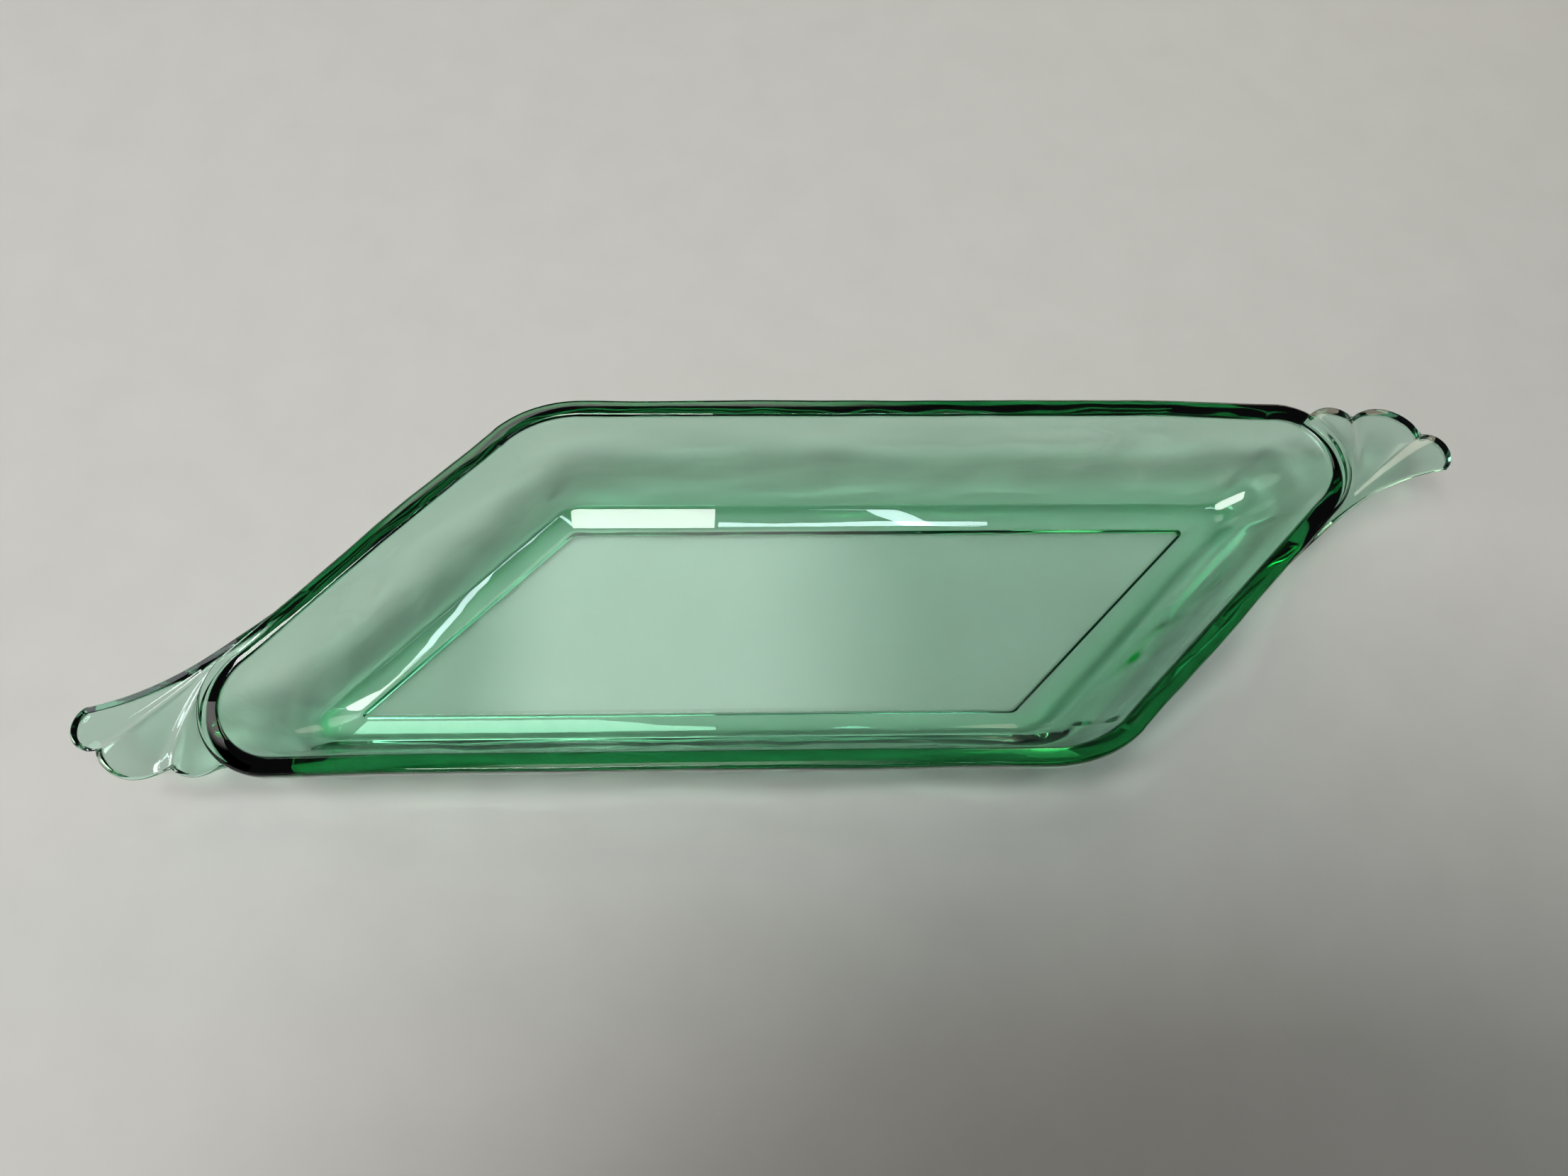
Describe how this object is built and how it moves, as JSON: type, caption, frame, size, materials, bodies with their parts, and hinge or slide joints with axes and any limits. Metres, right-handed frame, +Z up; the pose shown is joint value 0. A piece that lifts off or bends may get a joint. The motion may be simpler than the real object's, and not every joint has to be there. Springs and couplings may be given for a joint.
{
  "type": "serving dish",
  "caption": "Long transparent green pressed-glass serving dish with a parallelogram well, a low foot and a fluted shell handle at each acute corner.",
  "frame": {"origin": "under the centre of the well, on the plane the foot stands on", "axes": "+X along the long sides, +Z up out of the well; the shape repeats after half a turn about Z"},
  "size_m": [0.3292, 0.0938, 0.034],
  "materials": {
    "glass": "clear emerald green pressed glass, fire polished"
  },
  "bodies": {
    "root": {"floor_panel": "glass", "foot_right": "glass", "foot_acute_right": "glass", "foot_back": "glass", "foot_obtuse_left": "glass", "foot_left": "glass", "foot_acute_left": "glass", "foot_front": "glass", "foot_obtuse_right": "glass", "wall_right": "glass", "wall_acute_right": "glass", "wall_back": "glass", "wall_obtuse_left": "glass", "wall_left": "glass", "wall_acute_left": "glass", "wall_front": "glass", "wall_obtuse_right": "glass", "rim_right": "glass", "rim_acute_right": "glass", "rim_back": "glass", "rim_obtuse_left": "glass", "rim_left": "glass", "rim_acute_left": "glass", "rim_front": "glass", "rim_obtuse_right": "glass", "handle_right_tip_lobe": "glass", "handle_right_middle_lobe": "glass", "handle_right_inner_lobe": "glass", "handle_left_tip_lobe": "glass", "handle_left_middle_lobe": "glass", "handle_left_inner_lobe": "glass"}
  },
  "joints": []
}
